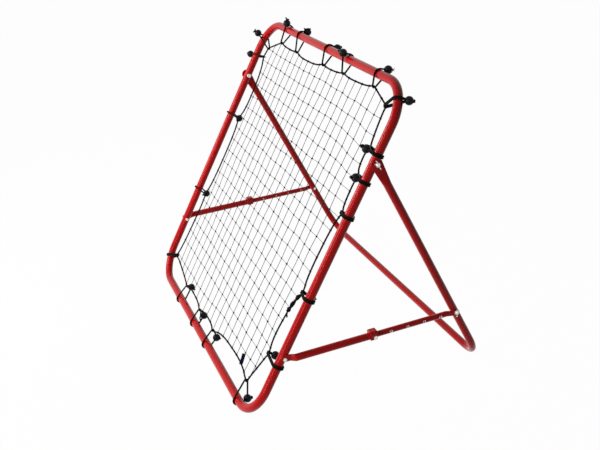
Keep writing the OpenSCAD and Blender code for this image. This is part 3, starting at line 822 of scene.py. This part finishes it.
TUBE_WRAP = TUBE_R + CORD_GAP + CORD_R
ROPE_WRAP = ROPE_R + CORD_GAP + CORD_R
WRAP_STEP = 9  # degrees between a loop's points round the tube
BIGHT_STEP = 18  # and round the rope
LOOP_STEP = 4 * MM
# Loops whose cord is taken round twice
DOUBLED = ("right_1", "right_2", "right_3", "right_4", "right_5", "right_6", "left_1")

# The elastic's ends beyond a ball's surface, in mm of (x, v, w)
TAILS_MM = {
    "left_5": [(0, -1, 5), (-3, 2, 3)],
    "top_1": [(-2, 5, 3), (3, 4, 1)],
    "top_2": [(-5, 2, 3), (4, 4, 0), (2, -4, 3)],
    "top_4": [(-6, 0, 3)],
    "top_5": [(12, 3, 0)],
    "right_2": [(-2, 1, 5)],
    "right_3": [(0, -1, 5)],
    "bottom_2": [(5, 2, -2)],
    "bottom_3": [(-5, 4, 4), (6, 2, -3), (0, -6, 2)],
    "bottom_4": [(6, 0, -3)],
    "left_2": [(-4, -5, 3)],
    "left_3": [(5, -4, 4)],
}
# The tie whose elastic end carries pale strands: a painted glint
GLINT_TIE = "top_5"
BIG_KNOT = "right_2"


def belt_normal(a, b):
    """The direction square to the belt's run from wheel a to wheel b, each (x, y, radius)."""
    gap = hypot(b[0] - a[0], b[1] - a[1])
    return atan2(b[1] - a[1], b[0] - a[0]) - acos((a[2] - b[2]) / gap)


def sticks_out(wheel, a, b):
    """Whether a wheel reaches past the belt's run from a to b."""
    n = belt_normal(a, b)
    reach = [w[0] * cos(n) + w[1] * sin(n) + w[2] for w in (wheel, a)]
    return reach[0] > reach[1]


def belt(i):
    """The loop round tube, rope and ball, as (inward, forward) points between the ball's ends."""
    tie = TIES[i]
    tube = (0, 0, TUBE_WRAP)
    rope = (tie.reach + bight(i).dot(tie.inward) - ROPE_WRAP, 0, ROPE_WRAP)
    ball = (tie.ball_in, tie.ball_out, 0)
    if tie.ball_out < 0:
        wheels = [ball, *([tube] if sticks_out(tube, ball, rope) else []), rope, tube, ball]
    else:
        wheels = [ball, tube, rope, *([tube] if sticks_out(tube, rope, ball) else []), ball]
    normals = [belt_normal(a, b) for a, b in zip(wheels, wheels[1:])]
    points = []
    for wheel, start, end in zip(wheels[1:-1], normals, normals[1:]):
        angle = (end - start) % (2 * pi)
        step = BIGHT_STEP if wheel is rope else WRAP_STEP
        count = max(2, ceil(degrees(angle) / step))
        for k in range(count + 1):
            a = start + angle * k / count
            points.append((wheel[0] + wheel[2] * cos(a), wheel[1] + wheel[2] * sin(a)))
    return points


def loop_points(i, beside=0.0):
    """The loop's whole path in the leaning plane, from the ball's middle round and back."""
    tie = TIES[i]
    bight_t = bight(i).dot(tie.tube_way)
    ball_gap = hypot(tie.ball_in - tie.reach, tie.ball_out)
    path = []
    for inward, forward in belt(i):
        share = min(1, max(0, hypot(inward - tie.reach, forward) - ROPE_WRAP) / ball_gap)
        clear = min(1, hypot(inward - tie.ball_in, forward - tie.ball_out) / (2 * BALL_R))
        path.append(tie.at + tie.inward * inward + FORWARD * forward
                    + tie.tube_way * (tie.ball_along * share + bight_t * (1 - share) + beside * clear))
    inside = BALL_R * 0.8
    ends = [tie.ball + (p - tie.ball).normalized() * inside for p in (path[0], path[-1])]
    return [ends[0], *path, ends[1]]


def elastic_loop(i):
    """A loop, pressed flat where it lies on the ground."""
    name = TIES[i].name
    shifts = (-CORD_SHOWN_R, CORD_SHOWN_R) if name in DOUBLED else (0,)
    paths = []
    for shift in shifts:
        path = [PLANE @ p for p in loop_points(i, shift)]
        paths.append([place[1] for place in even_path(path, LOOP_STEP)])
    mesh = sweep_mesh("elastic_loop_" + name, paths, CORD_SHOWN_R, sides=12)
    for v in mesh.vertices:
        v.co.z = max(v.co.z, 0)
    dress(link("elastic_loop_" + name, mesh), [ELASTIC], "frame", ["bungee_" + name])


BALL_KNOT = 5 * MM  # room for the knot behind a ball


def ball_axes(i):
    """The ball's middle and its axis, towards the elastic's ends or away from its loop."""
    tie, path = TIES[i], loop_points(i)
    centre = PLANE @ tie.ball
    if tie.name in TAILS_MM:
        away = TILT @ sum((Vector(v) for v in TAILS_MM[tie.name]), Vector())
    else:
        away = TILT @ (tie.ball * 2 - path[0] - path[-1])
    away.normalize()
    if centre.z + away.z * (BALL_R + BALL_KNOT) < BALL_KNOT:
        away.z = 0
    return centre, away.normalized()


def ball_shape():
    """A moulded ball with a parting line, and its bore's rim at both ends, in place at 0."""
    radius = BALL_SHOWN_R / MM
    mouth_r, rim_r, floor = 2.6, 3.4, 10
    steps = 9
    rim = acos(rim_r / radius)
    arc = [(radius * cos(a), radius * sin(a)) for a in
           (rim * (k / steps - 1) for k in range(2 * steps + 1))]
    arc[steps] = (radius + 0.2, 0)
    return turned([(0, 0.2 - floor), (mouth_r, -floor), *arc, (mouth_r, floor), (0, floor - 0.2)])


def elastic_ends(i):
    """Paths of the knot behind the ball and of the elastic's ends that leave it."""
    centre, away = ball_axes(i)
    turn = away.to_track_quat("Z", "Y").to_matrix()
    name = TIES[i].name
    size = (4.2 if name == BIG_KNOT else 3.0) * MM
    base = centre + away * (BALL_SHOWN_R + size * 0.25)
    paths = [[base + turn @ p for p in trefoil(size, 24, 1.2)]]
    paths[0].append(paths[0][0].copy())
    for v in TAILS_MM.get(name, ()):
        reach = TILT @ Vector(v) * MM
        way = reach.normalized()
        mid = centre + (away * 1.01 + way).normalized() * (BALL_R + 2.5 * MM)
        paths.append(smooth_path([base, mid, centre + way * BALL_R + reach], 5))
    return paths


GLINT_AT_MM = (25, 5, 0)  # where the pale strands of the painted glint meet, from its ball's middle
GLINT_STRANDS = 11


def painted_glint_end(i):
    """Pale strands that spread from the end of one loop's elastic, a painted glint, and the elastic's
    stem to them.
    """
    rng = random.Random(5)
    centre = ball_axes(i)[0]
    middle = centre + TILT @ Vector(GLINT_AT_MM) * MM
    strands = []
    for k in range(GLINT_STRANDS):
        a = 2 * pi * k / GLINT_STRANDS + rng.uniform(-0.2, 0.2)
        way = TILT @ Vector((cos(a), sin(a), rng.uniform(-0.7, 0.7)))
        length = rng.uniform(4, 7.5) * MM
        strands.append([middle - way * MM, middle + way * length * 0.5
                        + OUT_OF_FRONT * rng.uniform(-1, 1) * MM, middle + way * length])
    return strands, [centre, middle]


def balls():
    """The balls, the elastic's knots and ends behind them, and one end's pale strands: a painted
    glint.
    """
    bm = bmesh.new()
    ends = []
    for i in range(len(TIES)):
        centre, away = ball_axes(i)
        add_shape(bm, ball_shape(), Matrix.Translation(centre)
                  @ away.to_track_quat("Z", "Y").to_matrix().to_4x4())
        ends += elastic_ends(i)
    obj = finish_mesh("loop_balls", bm, 35)
    dress(obj, [PLASTIC], "frame", ["bungee_balls"])
    strands, stem = painted_glint_end(TIE_NAMES.index(GLINT_TIE))
    ends.append(stem)
    mesh = sweep_mesh("elastic_ends", ends, 2.2 * MM)
    dress(link("elastic_ends", mesh), [ELASTIC], "frame")
    # Pale strands: a painted glint.
    mesh = sweep_mesh("frayed_elastic", strands, 0.8 * MM, 6, taper=lambda share: 1 - 0.5 * share)
    dress(link("frayed_elastic", mesh), [PAINTED_GLINT], "frame")


# -------- rope

ROPE_LAY_R = 2.7 * MM  # over the strands
ROPE_PITCH = 14 * MM
LAY_OFFSET, STRAND_SHARE = 0.536, 0.464  # of the rope's radius: strands that just touch
BIND_R, BIND_PITCH = 3.4 * MM, 11 * MM
SECOND_END_R = 3.7 * MM  # how far the spliced end lies from the rope's middle
TAIL_R = 2.0 * MM
SPLICE = (0.03, 0.37)  # its share of the scallop below the tie right_5
OPEN_KNOT_MM = ((430, 313), (439, 292))
TAPE_TAB_MM = ((318, 73), (314, 88), (309, 104))
TAPE_W = 11.2 * MM


def rope_track():
    """The closed line of the rope's middle in the leaning plane."""
    steps = 8
    points = [rope_at(i, s / steps) for i in range(len(TIES)) for s in range(steps)]
    return smooth_path(points, 2, closed=True)


def laid(path, radius, pitch, closed=False):
    """The paths of a laid rope's three strands."""
    return [wound_round(path, LAY_OFFSET * radius, pitch, phase, OUT_OF_FRONT, pitch / 8, closed)
            for phase in (0, 2 * pi / 3, 4 * pi / 3)]


def edge_rope():
    """The laid rope all round the net."""
    path = [PLANE @ p for p in rope_track()]
    path.append(path[0].copy())
    strands = laid(path, ROPE_LAY_R, ROPE_PITCH, closed=True)
    mesh = sweep_mesh("edge_rope_laid", strands, STRAND_SHARE * ROPE_LAY_R, 6, closed=True)
    dress(link("edge_rope_laid", mesh), [ROPE], "frame", ["edge_rope"])


def rope_splice():
    """The rope's second end laid along it and bound, with a knotted tail."""
    start, end = SPLICE
    steps = 24
    core = [PLANE @ rope_at(KNOT_TIE, start + (end - start) * k / steps) for k in range(steps + 1)]
    strands = [wound_round(core, BIND_R, BIND_PITCH, 0, OUT_OF_FRONT, 1.3 * MM)]
    for phase in (0.6, 0.6 + pi):
        second = wound_round(core, SECOND_END_R, 60 * MM, phase, OUT_OF_FRONT, 3 * MM)
        strands += laid(second, ROPE_LAY_R, ROPE_PITCH)
    knot_at, tail_end = (PLANE @ (Vector((x, v, 0)) * MM) for x, v in OPEN_KNOT_MM)
    knot = [knot_at + TILT @ p for p in trefoil(5.5 * MM, 40, 1.4)]
    knot.append(knot[0].copy())
    tail = smooth_path([knot_at, knot_at.lerp(tail_end, 0.5) + OUT_OF_FRONT * 3 * MM, tail_end], 8)
    strands += laid(knot, TAIL_R, 12 * MM) + laid(tail, TAIL_R, 12 * MM)
    mesh = sweep_mesh("rope_splice", strands, 1.15 * MM, 6)
    dress(link("rope_splice", mesh), [ROPE], "frame", ["rope_knot"])


def tape_tab():
    """A folded strip of dark tape sewn round the rope near its lower right corner."""
    bm = bmesh.new()
    middle = [PLANE @ (Vector((x, v, 0)) * MM) for x, v in TAPE_TAB_MM]
    width = OUT_OF_FRONT * TAPE_W
    verts = [bm.verts.new(p - width / 2) for p in smooth_path(middle, 5)]
    edges = [bm.edges.new(pair) for pair in zip(verts, verts[1:])]
    made = bmesh.ops.extrude_edge_only(bm, edges=edges)["geom"]
    moved = [g for g in made if isinstance(g, bmesh.types.BMVert)]
    bmesh.ops.translate(bm, verts=moved, vec=width)
    bmesh.ops.recalc_face_normals(bm, faces=bm.faces)
    tab = finish_mesh("tape_tab", bm, 60)
    fold = tab.modifiers.new("fold", "SOLIDIFY")
    fold.thickness = 1.8 * MM
    fold.offset = 0
    soft = tab.modifiers.new("soft", "BEVEL")
    soft.width = 0.6 * MM
    soft.segments = 2
    baked(tab)
    dress(tab, [TAPE], "frame")


# -------- net

COLUMN_MM = ((-386, 41.0), (-380, 41.1))  # first string and pitch, bottom and top
ROW_MM = (886, 40.74)  # top row and pitch
RIGHT_DROP_MM = (15, 22, 25, 20, 14, 8, 4)  # of the upper rows towards the right rope
RIGHT_DROP_X_MM = (200, 440)
LAST_SAG_MM = 19  # of the lowest row on its left half
LAST_SAG_X_MM = (90, -90)
NET_SPAN_MM = (100, 886)
SLACK = 2.6 * MM  # slow wander of the knots from their lines
SLACK_SCALE = 7
JITTER = (0.9 * MM, 0.9 * MM, 0.4 * MM)  # and each one's own
KNOT_MM, KNOT_CORD_R = 2.5, 1.25 * MM
HITCH_R, HITCH_TURNS, HITCH_L = 0.7 * MM, 2, 3.6 * MM


def crossings(track, axis, value):
    """Where the closed track crosses a value of one axis: the least and greatest of the other."""
    hits = []
    for a, b in zip(track, track[1:] + track[:1]):
        if (a[axis] - value) * (b[axis] - value) <= 0 and a[axis] != b[axis]:
            share = (value - a[axis]) / (b[axis] - a[axis])
            hits.append(a.lerp(b, share))
    hits.sort(key=lambda p: p[1 - axis])
    return hits[0], hits[-1]


def string_x(column, v):
    """Where a string up the slope runs at height v, in mm."""
    share = (v - NET_SPAN_MM[0]) / (NET_SPAN_MM[1] - NET_SPAN_MM[0])
    low, high = (start + pitch * column for start, pitch in COLUMN_MM)
    return low + (high - low) * share


def string_v(row, x):
    """Where a string across runs at place x, in mm."""
    v = ROW_MM[0] - ROW_MM[1] * row
    start, end = RIGHT_DROP_X_MM
    if row < len(RIGHT_DROP_MM) and x > start:
        v -= RIGHT_DROP_MM[row] * ((x - start) / (end - start)) ** 2
    if row == KNOTS - 1:
        start, end = LAST_SAG_X_MM
        share = min(1, max(0, (start - x) / (start - end)))
        v -= LAST_SAG_MM * share * share * (3 - 2 * share)
    return v


def net_knots():
    """Every knot's place: the net as it hangs, with a little slack from mesh to mesh."""
    rng = random.Random(3)
    noise.seed_set(3)  # noise_vector differs from run to run without it
    grid = {}
    for column in range(KNOTS):
        for row in range(KNOTS):
            v = string_v(row, string_x(column, ROW_MM[0] - ROW_MM[1] * row))
            place = Vector((string_x(column, v), v, 0)) * MM
            drift = noise.noise_vector(place * SLACK_SCALE) * SLACK
            grid[column, row] = place + drift + Vector([rng.gauss(0, j) for j in JITTER])
    return grid


def hitch(at, way, radius):
    """A string's turns round the rope where it ends."""
    across = way.cross(FORWARD)
    steps = 6 * HITCH_TURNS
    turns = [2 * pi * HITCH_TURNS * k / steps for k in range(steps + 1)]
    return [at + way * (k / steps - 0.5) * HITCH_L
            + (across * cos(a) + FORWARD * sin(a)) * radius
            for k, a in enumerate(turns)]


def net_strings(grid, track):
    """The paths of the strings up and across, each from rope to rope through its knots."""
    up, across = [], []
    for column in range(KNOTS):
        knots = [grid[column, row] for row in range(KNOTS)]
        top = crossings(track, 0, knots[0].x)[1]
        foot = crossings(track, 0, knots[-1].x)[0]
        up.append([top, *knots, foot])
    for row in range(KNOTS):
        knots = [grid[column, row] for column in range(KNOTS)]
        left = crossings(track, 1, knots[0].y)[0]
        right = crossings(track, 1, knots[-1].y)[1]
        across.append([left, *knots, right])
    return up, across


def net():
    """The strings with a knot at each crossing and a hitch round the rope at each end."""
    grid = net_knots()
    track = rope_track()
    up, across = net_strings(grid, track)
    hitches = []
    for string in up + across:
        for end in (string[0], string[-1]):
            near = min(range(len(track)), key=lambda k: (track[k] - end).length)
            way = (track[(near + 1) % len(track)] - track[near - 1]).normalized()
            hitches.append([PLANE @ p for p in hitch(end, way, ROPE_LAY_R + 0.2 * MM)])
    bm = bmesh.new()
    for strings, radius in ((up, STRING_R), (across, CROSS_R)):
        paths = [[PLANE @ p for p in smooth_path(string, 3)] for string in strings]
        bm.from_mesh(sweep_mesh("net_strings", paths, radius, 6))
    bm.from_mesh(sweep_mesh("net_hitches", hitches, HITCH_R, 4))
    knot = sweep_mesh("net_knot", [trefoil(KNOT_MM * MM, 12)], KNOT_CORD_R, 4, closed=True)
    rng = random.Random(11)
    for place in grid.values():
        turn = (Matrix.Translation(PLANE @ place) @ TILT.to_4x4()
                @ Matrix.Rotation(rng.uniform(0, 6.28), 4, "Z")
                @ Matrix.Rotation(rng.uniform(-0.5, 0.5), 4, "X"))
        knot.transform(turn)
        bm.from_mesh(knot)
        knot.transform(turn.inverted())
    obj = finish_mesh("knotted_net", bm, 60)
    dress(obj, [TWINE], "frame", ["net"])


# -------- build

for node in NODES.values():
    slot = next(s["material_slot"] for s in frame["record"]["subparts"] if s["node"] == node.name)
    finish = {"red_paint": PAINT, "zinc": ZINC, "rope": ROPE, "elastic": ELASTIC,
              "net_cord": TWINE, "ball_plastic": PLASTIC}[slot]
    node.data.materials.clear()
    node.data.materials.append(finish)

rear_leg()
for side in ("right", "left"):
    brace_front(side)
    brace_rear(side)
bolts()
nuts()
for index in range(len(TIES)):
    elastic_loop(index)
balls()
edge_rope()
rope_splice()
tape_tab()
net()


# -------- stage

CAMERA_AT = Vector((2.32035, PLANE_ORIGIN.y - 0.45952, 1.45853))
VIEW_AZIMUTH = radians(70.2009)  # of the line of sight, from +Y towards -X
VIEW_DOWN = radians(24.364)
VIEW_ROLL = radians(-4.7126)
FOCAL_PX = 854.63
CENTRE_PX = (302.585, 215.369)
FRAME_PX = (600.0, 450.0)
SENSOR = 36.0


def camera():
    data = bpy.data.cameras.new("camera")
    data.sensor_width = SENSOR
    data.lens = FOCAL_PX * SENSOR / FRAME_PX[0]
    data.shift_x = (FRAME_PX[0] / 2 - CENTRE_PX[0]) / FRAME_PX[0]
    data.shift_y = (CENTRE_PX[1] - FRAME_PX[1] / 2) / FRAME_PX[0]
    data.clip_start, data.clip_end = 0.1, 50
    cam = link("camera", data)
    bearing = radians(90) + VIEW_AZIMUTH
    forward = Vector((cos(bearing) * cos(VIEW_DOWN),
                      sin(bearing) * cos(VIEW_DOWN), -sin(VIEW_DOWN)))
    right = forward.cross(Vector((0, 0, 1))).normalized()
    up = right.cross(forward)
    right, up = (right * cos(VIEW_ROLL) + up * sin(VIEW_ROLL),
                 up * cos(VIEW_ROLL) - right * sin(VIEW_ROLL))
    cam.matrix_world = axes_at(right, up, -forward, CAMERA_AT)
    bpy.context.scene.camera = cam


def lamp(name, at, aim, size, power):
    data = bpy.data.lights.new(name, "AREA")
    data.shape = "RECTANGLE"
    data.size, data.size_y = size
    data.energy = power
    obj = link(name, data)
    obj.location = at
    obj.rotation_euler = (Vector(aim) - Vector(at)).to_track_quat("-Z", "Y").to_euler()


def rays_that_see(tree):
    """1 for the rays that show the white background: camera, glossy and transmission."""
    rays = add(tree, "ShaderNodeLightPath")
    seen = rays.outputs["Is Camera Ray"]
    for kind in ("Is Glossy Ray", "Is Transmission Ray"):
        either = add(tree, "ShaderNodeMath", operation="MAXIMUM")
        tree.links.new(seen, either.inputs[0])
        tree.links.new(rays.outputs[kind], either.inputs[1])
        seen = either.outputs["Value"]
    return seen


def floor():
    bm = bmesh.new()
    bmesh.ops.create_grid(bm, x_segments=1, y_segments=1, size=12)
    obj = finish_mesh("floor", bm)
    mat, tree, shader = new_material("pale_floor")
    set_shader(shader, Base_Color=(0.8, 0.8, 0.8, 1), Roughness=0.9, Specular_IOR_Level=0.1)
    glow = add(tree, "ShaderNodeEmission", Color=(1, 1, 1, 1), Strength=1.0)
    mix = add(tree, "ShaderNodeMixShader")
    share = add(tree, "ShaderNodeMath", operation="MULTIPLY")
    share.inputs[1].default_value = 0.98
    tree.links.new(rays_that_see(tree), share.inputs[0])
    tree.links.new(share.outputs["Value"], mix.inputs["Fac"])
    tree.links.new(shader.outputs["BSDF"], mix.inputs[1])
    tree.links.new(glow.outputs["Emission"], mix.inputs[2])
    tree.links.new(mix.outputs["Shader"], tree.nodes["Material Output"].inputs["Surface"])
    obj.data.materials.append(mat)


def world():
    sky = bpy.data.worlds.new("studio")
    sky.use_nodes = True
    tree = sky.node_tree
    background = tree.nodes["Background"]
    set_shader(background, Color=(1, 1, 1, 1), Strength=0.03)
    white = add(tree, "ShaderNodeBackground", Color=(1, 1, 1, 1), Strength=1.0)
    mix = add(tree, "ShaderNodeMixShader")
    tree.links.new(rays_that_see(tree), mix.inputs["Fac"])
    tree.links.new(background.outputs["Background"], mix.inputs[1])
    tree.links.new(white.outputs["Background"], mix.inputs[2])
    tree.links.new(mix.outputs["Shader"], tree.nodes["World Output"].inputs["Surface"])
    bpy.context.scene.world = sky


camera()
floor()
world()
lamp("front_softbox", (-0.75, -1.6, 1.35), (0, 0, 0.45), (1.1, 1.1), 34)
lamp("strip_softbox", (1.0, -1.7, 0.9), (0.5, 0, 0.5), (0.26, 1.6), 15)
bpy.context.scene.view_settings.view_transform = "Standard"
